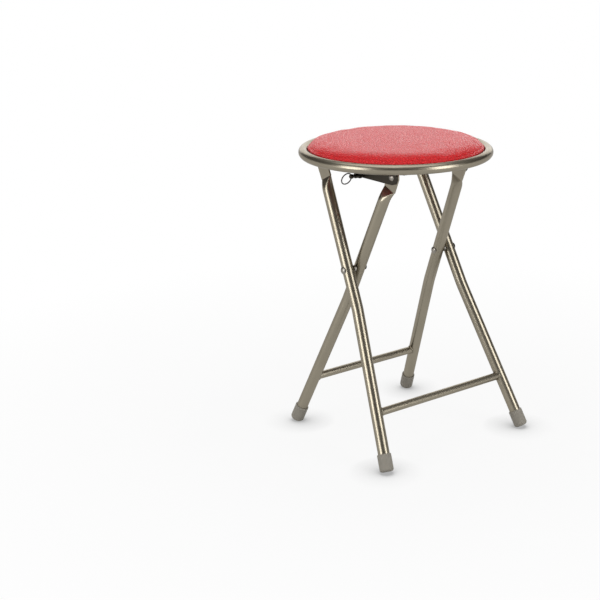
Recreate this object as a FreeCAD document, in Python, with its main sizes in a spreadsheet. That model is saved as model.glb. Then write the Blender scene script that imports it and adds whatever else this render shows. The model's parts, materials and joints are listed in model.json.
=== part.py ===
"""Folding stool: a round padded seat on two crossed frames of bent steel tube.

The seat turns on the tops of the outer frame, the inner frame turns on the outer
frame at the scissor rivets, and a flat link on each side ties the top of the
inner frame to the middle of the seat. A spring pin with a pull ring locks the
left link. Standing open, +X runs to the right along the rivets, +Y to the back
and +Z up, with the origin on the floor under the middle of the whole outline.
"""
import FreeCAD
import Part
import Sketcher
import math
import os

DIMENSIONS = {
    # Seat ring
    "seat_diameter": 300.0,
    "ring_tube": 15.0,
    "ring_wall": 1.2,
    "ring_rise": 19.5,
    "seat_offset": 2.8,
    # Heights and angles of the leg frames, standing open
    "seat_pivot_height": 430.0,
    "scissor_height": 280.0,
    "crossbar_height": 81.5,
    "outer_leg_angle": 26.5,
    "inner_leg_angle": 23.8,
    # Leg tubes
    "leg_tube": 18.0,
    "leg_wall": 1.2,
    "outer_top_spread": 184.0,
    "upper_splay": 3.6,
    "lower_splay": 7.8,
    "bend_drop": 62.0,
    "bend_radius": 160.0,
    "tab_length": 21.5,
    "tab_seam": 0.2,
    "tab_width": 24.0,
    "taper_length": 20.0,
    "outer_tab_set": 2.0,
    "inner_tab_set": 4.0,
    # Crossbars and foot caps
    "crossbar_tube": 12.0,
    "crossbar_wall": 1.0,
    "foot_wall": 1.7,
    "foot_floor": 5.0,
    "foot_socket": 22.0,
    "foot_round": 4.0,
    "foot_bevel": 0.8,
    "foot_flat": 0.7,
    # Rails under the seat
    "rail_width": 18.0,
    "rail_sheet": 2.5,
    "rail_bend": 3.0,
    "rail_lip": 3.9,
    "rail_top_drop": 3.5,
    "rail_tuck": 3.5,
    "pivot_lug": 11.0,
    "link_lug": 9.0,
    # Links
    "link_thickness": 3.0,
    "link_width": 23.0,
    "link_eye": 12.0,
    # Cushion
    "cover_thickness": 1.0,
    "hem_clearance": 10.4,
    "board_thickness": 6.0,
    "cushion_rise": 16.5,
    "cushion_bulge": 0.3,
    "cushion_shoulder": 0.5,
    "cushion_edge": 13.0,
    # Rivets and screws
    "rivet_shank": 6.0,
    "rivet_head": 11.0,
    "rivet_crown": 2.4,
    "eye_rivet_head": 6.4,
    "eye_rivet_crown": 1.2,
    "spacer_diameter": 10.0,
    "screw_shank": 4.0,
    "screw_head": 8.0,
    "screw_crown": 2.2,
    "screw_bite": 4.5,
    "screw_spread": 90.0,
    # Lock pin, its barrel and its pull ring
    "lock_drop": 8.0,
    "pin_nose": 4.0,
    "pin_stem": 3.4,
    "pin_collar": 5.6,
    "pin_collar_length": 1.2,
    "pin_travel": 3.4,
    "pin_neck": 0.4,
    "knob_diameter": 7.0,
    "knob_length": 5.6,
    "knob_round": 1.5,
    "barrel_wall": 0.8,
    "barrel_foot": 9.2,
    "barrel_foot_length": 1.2,
    "spring_wire": 0.5,
    "spring_turns": 2.0,
    "spring_pitch": 1.0,
    "ring_hole": 3.6,
    "pull_ring_diameter": 20.0,
    "pull_ring_wire": 1.8,
    "pull_ring_tilt": 20.0,
    "pull_ring_dip": 17.0,
    # Clearances
    "side_gap": 0.3,
    "rivet_clearance": 0.05,
    "seat_gap": 0.8,
    "weld_gap": 0.05,
    "foot_fit": 0.05,
    "pin_clearance": 0.1,
    "spring_clearance": 0.3,
}

document = FreeCAD.newDocument("FoldingStool")
sheet = document.addObject("Spreadsheet::Sheet", "Sizes")
for row, (alias, amount) in enumerate(DIMENSIONS.items(), start=1):
    sheet.set(f"A{row}", str(amount))
    sheet.setAlias(f"A{row}", alias)
worked = document.addObject("App::VarSet", "Worked")
document.recompute()
Vector = FreeCAD.Vector
X_AXIS = Vector(1, 0, 0)
Y_AXIS = Vector(0, 1, 0)
Z_AXIS = Vector(0, 0, 1)
LEFT = -1
RIGHT = 1
# Sections of a crushed leg top, and the small arcs of the first that grow into its flats
CRUSH_STEPS = 5
FLAT_START = math.radians(2)


class Size:
    """A number together with the expression that drives it in the document."""

    def __init__(self, value, text):
        self.value = value
        self.text = text

    def __add__(self, other):
        other = as_size(other)
        return Size(self.value + other.value, f"({self.text} + {other.text})")

    def __sub__(self, other):
        other = as_size(other)
        return Size(self.value - other.value, f"({self.text} - {other.text})")

    def __mul__(self, other):
        other = as_size(other)
        return Size(self.value * other.value, f"({self.text} * {other.text})")

    def __truediv__(self, other):
        other = as_size(other)
        return Size(self.value / other.value, f"({self.text} / {other.text})")

    def __neg__(self):
        return Size(-self.value, f"(0 - {self.text})")

    def __radd__(self, other):
        return as_size(other) + self

    def __rsub__(self, other):
        return as_size(other) - self

    def __rmul__(self, other):
        return as_size(other) * self


def as_size(number):
    """Turns a plain number into a size and leaves a size as it is."""
    if isinstance(number, Size):
        return number
    return Size(float(number), f"({number})")


def given(alias):
    """Reads one driving dimension from the sheet."""
    return Size(float(sheet.get(alias)), f"Sizes.{alias}")


def keep(name, size):
    """Keeps a worked-out size in the document under its own name."""
    worked.addProperty("App::PropertyFloat", name)
    worked.setExpression(name, size.text)
    return Size(size.value, f"Worked.{name}")


def sine(angle):
    """Sine of an angle in degrees."""
    return Size(math.sin(math.radians(angle.value)), f"sin({angle.text})")


def cosine(angle):
    """Cosine of an angle in degrees."""
    return Size(math.cos(math.radians(angle.value)), f"cos({angle.text})")


def tangent(angle):
    """Tangent of an angle in degrees."""
    return Size(math.tan(math.radians(angle.value)), f"tan({angle.text})")


def root(size):
    """Square root of a size."""
    return Size(math.sqrt(size.value), f"sqrt({size.text})")


ZERO = as_size(0)

# Sizes worked out once and shared by the pieces that fit together
leg_radius = given("leg_tube") / 2
side_gap = given("side_gap")
rivet_radius = given("rivet_shank") / 2
rivet_hole = rivet_radius + given("rivet_clearance")
tab_thickness = keep("tab_thickness", given("leg_wall") * 2 + given("tab_seam"))
tab_half = given("tab_width") / 2
ring_radius = keep("ring_radius", (given("seat_diameter") - given("ring_tube")) / 2)
ring_height = keep("ring_height", given("seat_pivot_height") + given("ring_rise"))
pivot_rise = keep("pivot_rise", given("seat_pivot_height") - given("scissor_height"))
outer_arm = keep("outer_arm", pivot_rise / cosine(given("outer_leg_angle")))
inner_arm = keep("inner_arm", pivot_rise / cosine(given("inner_leg_angle")))
outer_top_y = keep("outer_top_y", pivot_rise * tangent(given("outer_leg_angle")))
inner_top_y = keep("inner_top_y", pivot_rise * tangent(given("inner_leg_angle")))
# The link must fold flat beside the seat, so the two spans differ as the arms do
seat_arm = keep("seat_arm", (outer_top_y + inner_top_y - outer_arm + inner_arm) / 2)
link_length = keep("link_length", outer_top_y + inner_top_y - seat_arm)

# Layers along X, from the outer leg's flattened top inward
outer_tab_x = keep("outer_tab_x", given("outer_top_spread") / 2)
rail_outer_x = keep("rail_outer_x", outer_tab_x - tab_thickness / 2 - side_gap)
rail_inner_x = keep("rail_inner_x", rail_outer_x - given("rail_width"))
link_x = keep("link_x", rail_inner_x - side_gap - given("link_thickness") / 2)
inner_tab_x = keep("inner_tab_x", link_x - given("link_thickness") / 2 - side_gap - tab_thickness / 2)

# Levels of the seat, measured from the floor
rail_top = keep("rail_top", ring_height - given("rail_top_drop"))
board_bottom = keep("board_bottom", rail_top + given("cover_thickness"))
board_top = keep("board_top", board_bottom + given("board_thickness"))
cover_radius = keep("cover_radius", ring_radius - given("ring_tube") / 2 - given("seat_gap"))
board_radius = keep("board_radius", cover_radius - given("cover_thickness"))
pivot_drop = keep("pivot_drop", rail_top - given("seat_pivot_height"))
# The hem under the board stops outside the screws
rail_middle_x = keep("rail_middle_x", (rail_outer_x + rail_inner_x) / 2)
screw_half = given("screw_spread") / 2
screw_circle = keep("screw_circle", root(rail_middle_x * rail_middle_x + screw_half * screw_half))
hem_radius = keep("hem_radius", screw_circle + given("screw_head") / 2 + given("hem_clearance"))
foot_radius = keep("foot_radius", leg_radius + given("foot_fit") + given("foot_wall"))


class Frame:
    """Places that a leg frame's pieces share, in the plane of its legs.

    The scissor rivet is at height 0 in this plane, and across is the distance
    from the middle of the stool.
    """

    def __init__(self, name, tab_x, tab_set, arm, angle, lean):
        self.name = name
        self.tab_x = tab_x
        self.tab_set = tab_set
        self.arm = arm
        self.angle = angle
        self.lean = lean
        upper = given("upper_splay")
        lower = given("lower_splay")
        # The tube is crushed mostly from outside, so its flat top is set in from its middle
        tube_x = tab_x + tab_set
        self.tab_foot = keep(f"{name}_tab_foot", arm - given("tab_length"))
        self.shoulder = keep(f"{name}_shoulder", self.tab_foot - given("taper_length"))
        self.shoulder_x = keep(f"{name}_shoulder_x", tube_x + given("taper_length") * tangent(upper))
        self.bend = -given("bend_drop")
        self.bend_x = keep(f"{name}_bend_x", tube_x + (self.tab_foot - self.bend) * tangent(upper))
        self.scissor_x = keep(f"{name}_scissor_x", tube_x + self.tab_foot * tangent(upper))
        # The foot cap's lowest point dips below the floor by the flat that is cut on it
        fall = cosine(angle) * cosine(lower)
        slope = root(1 - fall * fall)
        rounding = given("foot_round")
        self.end_height = keep(
            f"{name}_end_height",
            rounding * (1 - fall) + (foot_radius - rounding) * slope - given("foot_flat"),
        )
        self.end = keep(f"{name}_end", (self.end_height - given("scissor_height")) / cosine(angle))
        self.end_x = keep(f"{name}_end_x", self.bend_x + (self.bend - self.end) * tangent(lower))
        self.tube_end = keep(f"{name}_tube_end", self.end + given("foot_floor") * cosine(lower))
        self.tube_end_x = keep(f"{name}_tube_end_x", self.end_x - given("foot_floor") * sine(lower))
        self.bar = keep(f"{name}_bar", (given("crossbar_height") - given("scissor_height")) / cosine(angle))
        self.bar_x = keep(f"{name}_bar_x", self.bend_x + (self.bend - self.bar) * tangent(lower))

    def reach(self):
        """Distance from the scissor rivet to the foot's outermost edge along Y."""
        side = cosine(given("lower_splay")) * sine(self.angle)
        rounding = given("foot_round")
        edge = (foot_radius - rounding) * root(1 - side * side) + rounding * (1 - side)
        return -self.end * sine(self.angle) + edge


outer = Frame("outer", outer_tab_x, given("outer_tab_set"), outer_arm, given("outer_leg_angle"), -1)
inner = Frame("inner", inner_tab_x, given("inner_tab_set"), inner_arm, given("inner_leg_angle"), 1)

# The outline runs from the outer feet in front to the seat's back edge
seat_from_scissor = keep("seat_from_scissor", outer_top_y - seat_arm)
seat_back = seat_from_scissor + given("seat_offset") + given("seat_diameter") / 2
scissor_y = keep("scissor_y", (outer.reach() - seat_back) / 2)
link_pivot_y = keep("link_pivot_y", scissor_y + seat_from_scissor)
seat_y = keep("seat_y", link_pivot_y + given("seat_offset"))
document.recompute()


def placed(across, back, up, rotation=FreeCAD.Rotation()):
    """Placement at three sizes, with an optional turn."""
    return FreeCAD.Placement(Vector(across.value, back.value, up.value), rotation)


def frame_placement(frame):
    """Stands a leg frame's plane up at its lean."""
    lean = FreeCAD.Rotation(X_AXIS, frame.lean * frame.angle.value)
    return placed(ZERO, scissor_y, given("scissor_height"), lean)


def side_turn(side):
    """Half a turn about the upright for the left piece of a mirrored pair."""
    return FreeCAD.Placement(Vector(), FreeCAD.Rotation(Z_AXIS, 0 if side == RIGHT else 180))


def new_body(label):
    """Starts a solid piece with its own label."""
    body = document.addObject("PartDesign::Body", label)
    body.Label = label
    return body


def new_sketch(body, plane, offset=ZERO):
    """Starts a sketch on one of the body's own planes, moved out along its normal."""
    sketch = body.newObject("Sketcher::SketchObject", f"{body.Name}_sketch")
    support = [feature for feature in body.Origin.OriginFeatures if feature.Role == plane][0]
    sketch.AttachmentSupport = [(support, "")]
    sketch.MapMode = "FlatFace"
    sketch.AttachmentOffset = FreeCAD.Placement(Vector(0, 0, offset.value), FreeCAD.Rotation())
    sketch.setExpression("AttachmentOffset.Base.z", offset.text)
    return sketch


def leaning_sketch(body, across, up, lean, axis=-Y_AXIS):
    """Starts a sketch above the body's floor plane that leans outward, or about another axis."""
    sketch = new_sketch(body, "XY_Plane", up)
    turn = FreeCAD.Rotation(axis, lean.value)
    sketch.AttachmentOffset = FreeCAD.Placement(Vector(across.value, 0, up.value), turn)
    sketch.setExpression("AttachmentOffset.Base.x", across.text)
    sketch.setExpression("AttachmentOffset.Rotation.Angle", lean.text)
    return sketch


def hold(sketch, kind, geometry, point, size):
    """Holds one coordinate of a sketch point at a size from the origin."""
    index = sketch.addConstraint(Sketcher.Constraint(kind, -1, 1, geometry, point, size.value))
    sketch.setExpression(f"Constraints[{index}]", size.text)


def circle(sketch, across, up, radius):
    """Draws a held circle."""
    center = Vector(across.value, up.value, 0)
    index = sketch.addGeometry(Part.Circle(center, Z_AXIS, radius.value))
    hold(sketch, "DistanceX", index, 3, across)
    hold(sketch, "DistanceY", index, 3, up)
    bound = sketch.addConstraint(Sketcher.Constraint("Radius", index, radius.value))
    sketch.setExpression(f"Constraints[{bound}]", radius.text)


def chain(sketch, corners, arcs, closed=True):
    """Draws lines through held corners, with arcs on the numbered stretches.

    Args:
        sketch: the sketch to draw in.
        corners: pairs of sizes, in order.
        arcs: center of the arc, by the number of the corner where it starts.
        closed: whether the last corner runs back to the first.
    """
    count = len(corners) if closed else len(corners) - 1
    points = [Vector(across.value, up.value, 0) for across, up in corners]
    ends = []
    for number in range(count):
        start = points[number]
        finish = points[(number + 1) % len(points)]
        if number not in arcs:
            index = sketch.addGeometry(Part.LineSegment(start, finish))
            ends.append((index, 1, 2))
            continue
        middle = Vector(arcs[number][0].value, arcs[number][1].value, 0)
        whole = Part.Circle(middle, Z_AXIS, (start - middle).Length)
        onward = (start - middle).cross(finish - middle).z >= 0
        first, last = (start, finish) if onward else (finish, start)
        angles = [math.atan2(point.y - middle.y, point.x - middle.x) for point in (first, last)]
        index = sketch.addGeometry(Part.ArcOfCircle(whole, *angles))
        ends.append((index, 1, 2) if onward else (index, 2, 1))
        # The corners fix the arc's ends, so its center needs one more hold
        flat_chord = abs(finish.x - start.x) > abs(finish.y - start.y)
        kind = "DistanceY" if flat_chord else "DistanceX"
        hold(sketch, kind, index, 3, arcs[number][1 if flat_chord else 0])
    for number, (index, start_point, finish_point) in enumerate(ends):
        hold(sketch, "DistanceX", index, start_point, corners[number][0])
        hold(sketch, "DistanceY", index, start_point, corners[number][1])
        if number + 1 < count or closed:
            following = ends[(number + 1) % count]
            meet = Sketcher.Constraint("Coincident", index, finish_point, following[0], following[1])
            sketch.addConstraint(meet)
        else:
            hold(sketch, "DistanceX", index, finish_point, corners[-1][0])
            hold(sketch, "DistanceY", index, finish_point, corners[-1][1])


def pad(body, sketch, length):
    """Thickens a sketch equally to both sides of its plane."""
    feature = body.newObject("PartDesign::Pad", f"{body.Name}_pad")
    feature.Profile = sketch
    feature.Midplane = True
    feature.setExpression("Length", length.text)


def drill(body, sketch):
    """Cuts a sketch right through the body, both ways."""
    document.recompute()
    before = body.Shape.Volume
    feature = body.newObject("PartDesign::Pocket", f"{body.Name}_holes")
    feature.Profile = sketch
    feature.Type = "ThroughAll"
    feature.Midplane = True
    document.recompute()
    if body.Shape.Volume >= before:
        raise RuntimeError(f"the holes of {body.Label} cut nothing")


def turned(label, corners, arcs, axis):
    """Makes a turned piece from half of its section.

    Args:
        label: the piece's name.
        corners: half section; the axis is the sketch's upright or its level line.
        arcs: arcs of the section, as in chain.
        axis: V_Axis for a section beside Z, H_Axis for one above X.

    Returns:
        The finished body.
    """
    body = new_body(label)
    sketch = new_sketch(body, "XZ_Plane" if axis == "V_Axis" else "XY_Plane")
    chain(sketch, corners, arcs)
    feature = body.newObject("PartDesign::Revolution", f"{label}_turn")
    feature.Profile = sketch
    feature.ReferenceAxis = (sketch, [axis])
    feature.Angle = 360
    return body


def tool(kind, label, sizes, placement):
    """Makes a plain shape that trims another piece."""
    shape = document.addObject(kind, label)
    for name, size in sizes.items():
        shape.setExpression(name, size.text)
    shape.Placement = placement
    return shape


def trimmed(kind, label, base, cutter):
    """Trims one shape with another and labels the result."""
    result = document.addObject(kind, label)
    result.Label = label
    result.Base = base
    result.Tool = cutter
    return result


def group(label, pieces):
    """Gathers identical fasteners, still separate solids, under one name."""
    gathered = document.addObject("Part::Compound", label)
    gathered.Label = label
    gathered.Links = pieces
    return gathered


def tube_ring(sketch, radius, wall):
    """Draws the section of a hollow tube about the sketch's origin."""
    circle(sketch, ZERO, ZERO, radius)
    circle(sketch, ZERO, ZERO, radius - wall)


def round_section(sketch, radius):
    """Draws a circle in four arcs that match the four sides of a crushed tube."""
    near = radius * math.cos(FLAT_START)
    wide = radius * math.sin(FLAT_START)
    corners = [(near, -wide), (near, wide), (-near, wide), (-near, -wide)]
    chain(sketch, corners, {number: (ZERO, ZERO) for number in range(4)})


def crushed_section(sketch, thickness, flat):
    """Draws a crushed tube's section: two flats and two rounded edges."""
    near = thickness / 2
    corners = [(near, -flat), (near, flat), (-near, flat), (-near, -flat)]
    chain(sketch, corners, {1: (ZERO, flat), 3: (ZERO, -flat)})


def add_crush(body, kind, frame, inset):
    """Adds or cuts the stretch of a leg where the round tube is crushed flat.

    The outside falls in along a quarter wave: it leaves the round tube smoothly
    and meets the flat top at a crease.

    Args:
        body: the leg.
        kind: the loft feature to use.
        frame: the leg frame that it belongs to.
        inset: depth of this surface under the outside of the tube.
    """
    sections = []
    for step in range(CRUSH_STEPS + 1):
        along = step / CRUSH_STEPS
        left = math.cos(math.radians(90 * along))
        thickness = tab_thickness + (given("leg_tube") - tab_thickness) * left - inset * 2
        flat = (tab_half - tab_thickness / 2) * (1 - left)
        to_tab = given("taper_length") * (1 - along)
        across = frame.tab_x + frame.tab_set * left + to_tab * tangent(given("upper_splay"))
        lean = given("upper_splay") * (1 - along)
        section = leaning_sketch(body, across, frame.tab_foot - to_tab, lean)
        if step == 0:
            round_section(section, leg_radius - inset)
        else:
            crushed_section(section, thickness, flat)
        sections.append(section)
    loft = body.newObject(kind, f"{body.Name}_crush")
    loft.Profile = sections[0]
    loft.Sections = sections[1:]


def make_leg(label, frame, side):
    """Bent leg tube with a flattened, drilled top.

    Args:
        label: the piece's name.
        frame: the leg frame that it belongs to.
        side: LEFT or RIGHT.

    Returns:
        The finished body.
    """
    body = new_body(label)
    upper = given("upper_splay")
    lower = given("lower_splay")
    bend_tangent = given("bend_radius") * tangent((lower - upper) / 2)
    bend_low = (frame.bend_x + bend_tangent * sine(lower), frame.bend - bend_tangent * cosine(lower))
    bend_high = (frame.bend_x - bend_tangent * sine(upper), frame.bend + bend_tangent * cosine(upper))
    bend_center = (
        bend_low[0] + given("bend_radius") * cosine(lower),
        bend_low[1] + given("bend_radius") * sine(lower),
    )
    path = new_sketch(body, "XZ_Plane")
    corners = [
        (frame.tube_end_x, frame.tube_end),
        bend_low,
        bend_high,
        (frame.shoulder_x, frame.shoulder),
    ]
    chain(path, corners, {1: bend_center}, closed=False)
    profile = leaning_sketch(body, frame.tube_end_x, frame.tube_end, lower)
    tube_ring(profile, leg_radius, given("leg_wall"))
    pipe = body.newObject("PartDesign::AdditivePipe", f"{label}_tube")
    pipe.Profile = profile
    pipe.Spine = (path, ["Edge1", "Edge2", "Edge3"])

    add_crush(body, "PartDesign::AdditiveLoft", frame, ZERO)
    add_crush(body, "PartDesign::SubtractiveLoft", frame, given("leg_wall"))
    tab = new_sketch(body, "YZ_Plane", frame.tab_x)
    corners = [
        (tab_half, frame.tab_foot),
        (tab_half, frame.arm),
        (ZERO, frame.arm + tab_half),
        (-tab_half, frame.arm),
        (-tab_half, frame.tab_foot),
    ]
    chain(tab, corners, {1: (ZERO, frame.arm), 2: (ZERO, frame.arm)})
    pad(body, tab, tab_thickness)
    holes = new_sketch(body, "YZ_Plane")
    circle(holes, ZERO, frame.arm, rivet_hole)
    circle(holes, ZERO, ZERO, rivet_hole)
    drill(body, holes)
    body.Placement = frame_placement(frame).multiply(side_turn(side))
    return body


def lower_leg_placement(frame, side, across, up):
    """Placement on a leg's lower stretch, with Z running up along the tube."""
    local = placed(across, ZERO, up, FreeCAD.Rotation(-Y_AXIS, given("lower_splay").value))
    return frame_placement(frame).multiply(side_turn(side)).multiply(local)


def make_crossbar(label, frame):
    """Crossbar tube with both ends coped to fit the legs."""
    body = new_body(f"{label}_tube")
    profile = new_sketch(body, "YZ_Plane")
    tube_ring(profile, given("crossbar_tube") / 2, given("crossbar_wall"))
    pad(body, profile, frame.bar_x * 2)
    place = frame_placement(frame)
    body.Placement = place.multiply(placed(ZERO, ZERO, frame.bar))
    cope = {"Radius": leg_radius + given("weld_gap"), "Height": given("leg_tube") * 2}
    cutters = []
    for side in (LEFT, RIGHT):
        centered = FreeCAD.Placement(Vector(0, 0, -given("leg_tube").value), FreeCAD.Rotation())
        along = lower_leg_placement(frame, side, frame.bar_x, frame.bar).multiply(centered)
        cutters.append(tool("Part::Cylinder", f"{label}_cope", cope, along))
    return trimmed("Part::Cut", label, body, group(f"{label}_copes", cutters))


def make_foot(label, frame, side, floor):
    """Moulded cap on a leg's end, rounded below and worn flat where it stands."""
    rounding = given("foot_round")
    bevel = given("foot_bevel")
    top = given("foot_floor") + given("foot_socket")
    socket = leg_radius + given("foot_fit")
    corners = [
        (ZERO, ZERO),
        (foot_radius - rounding, ZERO),
        (foot_radius, rounding),
        (foot_radius, top - bevel),
        (foot_radius - bevel, top),
        (socket, top),
        (socket, given("foot_floor")),
        (ZERO, given("foot_floor")),
    ]
    cap = turned(f"{label}_cap", corners, {1: (foot_radius - rounding, rounding)}, "V_Axis")
    cap.Placement = lower_leg_placement(frame, side, frame.end_x, frame.end)
    return trimmed("Part::Cut", label, cap, floor)


def rivet_section(start, finish, shank, head, crown, heads):
    """Half section of a rivet along X, with a domed head at one end or both."""
    dome = (head * head + crown * crown) / (crown * 2)
    corners = []
    arcs = {}
    if "start" in heads:
        arcs[len(corners)] = (start - crown + dome, ZERO)
        corners += [(start - crown, ZERO), (start, head), (start, shank)]
    else:
        corners += [(start, ZERO), (start, shank)]
    if "finish" in heads:
        corners += [(finish, shank)]
        arcs[len(corners)] = (finish + crown - dome, ZERO)
        corners += [(finish, head), (finish + crown, ZERO)]
    else:
        corners += [(finish, shank), (finish, ZERO)]
    return corners, arcs


def make_rivets(label, start, finish, back, up, heads=("start", "finish"), head=None, crown=None):
    """A left and a right rivet between two distances from the middle of the stool."""
    head = head or given("rivet_head") / 2
    crown = crown or given("rivet_crown")
    corners, arcs = rivet_section(start, finish, rivet_radius, head, crown, heads)
    pair = []
    for side in (LEFT, RIGHT):
        rivet = turned(f"{label}_{'left' if side == LEFT else 'right'}", corners, arcs, "H_Axis")
        rivet.Placement = placed(ZERO, back, up).multiply(side_turn(side))
        pair.append(rivet)
    return pair


def make_ring():
    """Hollow tube bent into the hoop round the seat."""
    body = new_body("seat_ring")
    profile = new_sketch(body, "XZ_Plane")
    circle(profile, ring_radius, ZERO, given("ring_tube") / 2)
    circle(profile, ring_radius, ZERO, given("ring_tube") / 2 - given("ring_wall"))
    hoop = body.newObject("PartDesign::Revolution", "seat_ring_hoop")
    hoop.Profile = profile
    hoop.ReferenceAxis = (profile, ["V_Axis"])
    hoop.Angle = 360
    body.Placement = placed(ZERO, seat_y, ring_height)
    return body


def add_lug(body, across, back, up, half_width):
    """Adds a round-ended lug that hangs from a rail's edge."""
    top = -given("rail_bend")
    sketch = new_sketch(body, "YZ_Plane", across)
    corners = [
        (back + half_width, top),
        (back + half_width, up),
        (back, up - half_width),
        (back - half_width, up),
        (back - half_width, top),
    ]
    chain(sketch, corners, {1: (back, up), 2: (back, up)})
    pad(body, sketch, given("rail_sheet"))


def make_rail(label, side):
    """Pressed channel across the seat, with a lug for the leg and one for the link.

    Args:
        label: the piece's name.
        side: LEFT, which also carries the lock pin's hole, or RIGHT.

    Returns:
        The finished piece, coped to the ring at both ends.
    """
    sheet_metal = given("rail_sheet")
    bend = given("rail_bend")
    lip = -given("rail_lip")
    body = new_body(f"{label}_channel")
    profile = new_sketch(body, "XZ_Plane")
    section = [
        (rail_outer_x, lip),
        (rail_outer_x, -bend),
        (rail_outer_x - bend, ZERO),
        (rail_inner_x + bend, ZERO),
        (rail_inner_x, -bend),
        (rail_inner_x, lip),
        (rail_inner_x + sheet_metal, lip),
        (rail_inner_x + sheet_metal, -bend),
        (rail_inner_x + bend, -sheet_metal),
        (rail_outer_x - bend, -sheet_metal),
        (rail_outer_x - sheet_metal, -bend),
        (rail_outer_x - sheet_metal, lip),
    ]
    outer_bend = (side * (rail_outer_x - bend), -bend)
    inner_bend = (side * (rail_inner_x + bend), -bend)
    section = [(side * across, up) for across, up in section]
    chain(profile, section, {1: outer_bend, 3: inner_bend, 7: inner_bend, 9: outer_bend})
    pad(body, profile, ring_radius * 2)
    half_sheet = sheet_metal / 2
    link_lug_up = -pivot_drop - given("lock_drop") / 2
    add_lug(body, side * (rail_outer_x - half_sheet), seat_arm, -pivot_drop, given("pivot_lug"))
    add_lug(body, side * (rail_inner_x + half_sheet), ZERO, link_lug_up, given("link_lug"))
    holes = new_sketch(body, "YZ_Plane")
    circle(holes, seat_arm, -pivot_drop, rivet_hole)
    circle(holes, ZERO, -pivot_drop, rivet_hole)
    if side == LEFT:
        circle(holes, ZERO, -pivot_drop - given("lock_drop"), given("pin_nose") / 2 + given("pin_clearance"))
    drill(body, holes)
    screw_holes = new_sketch(body, "XY_Plane")
    for end in (-1, 1):
        radius = given("screw_shank") / 2 + given("rivet_clearance")
        circle(screw_holes, side * rail_middle_x, given("seat_offset") + end * screw_half, radius)
    drill(body, screw_holes)
    body.Placement = placed(ZERO, link_pivot_y, rail_top)
    inside = {"Radius": ring_radius - given("rail_tuck"), "Height": ring_height}
    within = tool("Part::Cylinder", f"{label}_reach", inside, placed(ZERO, seat_y, ZERO))
    shortened = trimmed("Part::Common", f"{label}_cut_to_length", body, within)
    hoop = {"Radius1": ring_radius, "Radius2": given("ring_tube") / 2 + given("weld_gap")}
    cope = tool("Part::Torus", f"{label}_cope", hoop, placed(ZERO, seat_y, ring_height))
    return trimmed("Part::Cut", label, shortened, cope)


def make_board():
    """Plywood disc under the padding, with pilot holes for the screws."""
    body = new_body("seat_board")
    disc = new_sketch(body, "XY_Plane", given("board_thickness") / 2)
    circle(disc, ZERO, ZERO, board_radius)
    pad(body, disc, given("board_thickness"))
    pilots = new_sketch(body, "XY_Plane")
    for side in (LEFT, RIGHT):
        for end in (-1, 1):
            radius = given("screw_shank") / 2 + given("rivet_clearance")
            circle(pilots, side * rail_middle_x, end * screw_half, radius)
    document.recompute()
    bore = body.newObject("PartDesign::Pocket", "seat_board_pilots")
    bore.Profile = pilots
    bore.Midplane = True
    bore.setExpression("Length", ((given("screw_bite") + given("rivet_clearance")) * 2).text)
    body.Placement = placed(ZERO, seat_y, board_bottom)
    return body


def make_screws():
    """Four pan-head screws that hold the board down on the rails."""
    shank = given("screw_shank") / 2
    head = given("screw_head") / 2
    crown = given("screw_crown")
    length = given("rail_sheet") + given("cover_thickness") + given("screw_bite")
    corners = [
        (ZERO, -crown),
        (head / 2, -crown),
        (head, ZERO),
        (shank, ZERO),
        (shank, length),
        (ZERO, length),
    ]
    # The head's rim is an arc that leaves the flat top square to the axis
    rim = ((head / 2) * (head / 2) + crown * crown) / (crown * 2)
    arcs = {1: (head / 2, rim - crown)}
    screws = []
    for side in (LEFT, RIGHT):
        for end in (-1, 1):
            screw = turned(f"screw_{len(screws)}", corners, arcs, "V_Axis")
            back = seat_y + end * screw_half
            screw.Placement = placed(side * rail_middle_x, back, rail_top - given("rail_sheet"))
            screws.append(screw)
    return group("board_screws", screws)


def crown_arcs(top, edge_radius, edge, shoulder):
    """Centers and meeting point of the cushion's crown and its rounded edge.

    Args:
        top: height of the crown's middle.
        edge_radius: distance of the edge from the middle.
        edge: radius of the rounded edge.
        shoulder: height where the rounded edge starts.

    Returns:
        The edge's center, the crown's center and the point where they meet.
    """
    inward = edge_radius - edge
    rise = top - shoulder
    crown = (inward * inward + rise * rise - edge * edge) / ((rise - edge) * 2)
    share = crown / (crown - edge)
    crown_center = (ZERO, top - crown)
    edge_center = (inward, shoulder)
    meet = (inward * share, crown_center[1] + (shoulder - crown_center[1]) * share)
    return edge_center, crown_center, meet


def make_foam():
    """Padding with a low crown, drawn in where it passes through the ring."""
    top = given("cushion_rise") - given("cover_thickness")
    bulge = board_radius + given("cushion_bulge")
    edge = given("cushion_edge") - given("cover_thickness")
    shoulder = given("cushion_shoulder")
    edge_center, crown_center, meet = crown_arcs(top, bulge, edge, shoulder)
    corners = [(ZERO, ZERO), (board_radius, ZERO), (bulge, shoulder), meet, (ZERO, top)]
    foam = turned("seat_foam", corners, {2: edge_center, 3: crown_center}, "V_Axis")
    foam.Placement = placed(ZERO, seat_y, board_top)
    return foam


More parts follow.
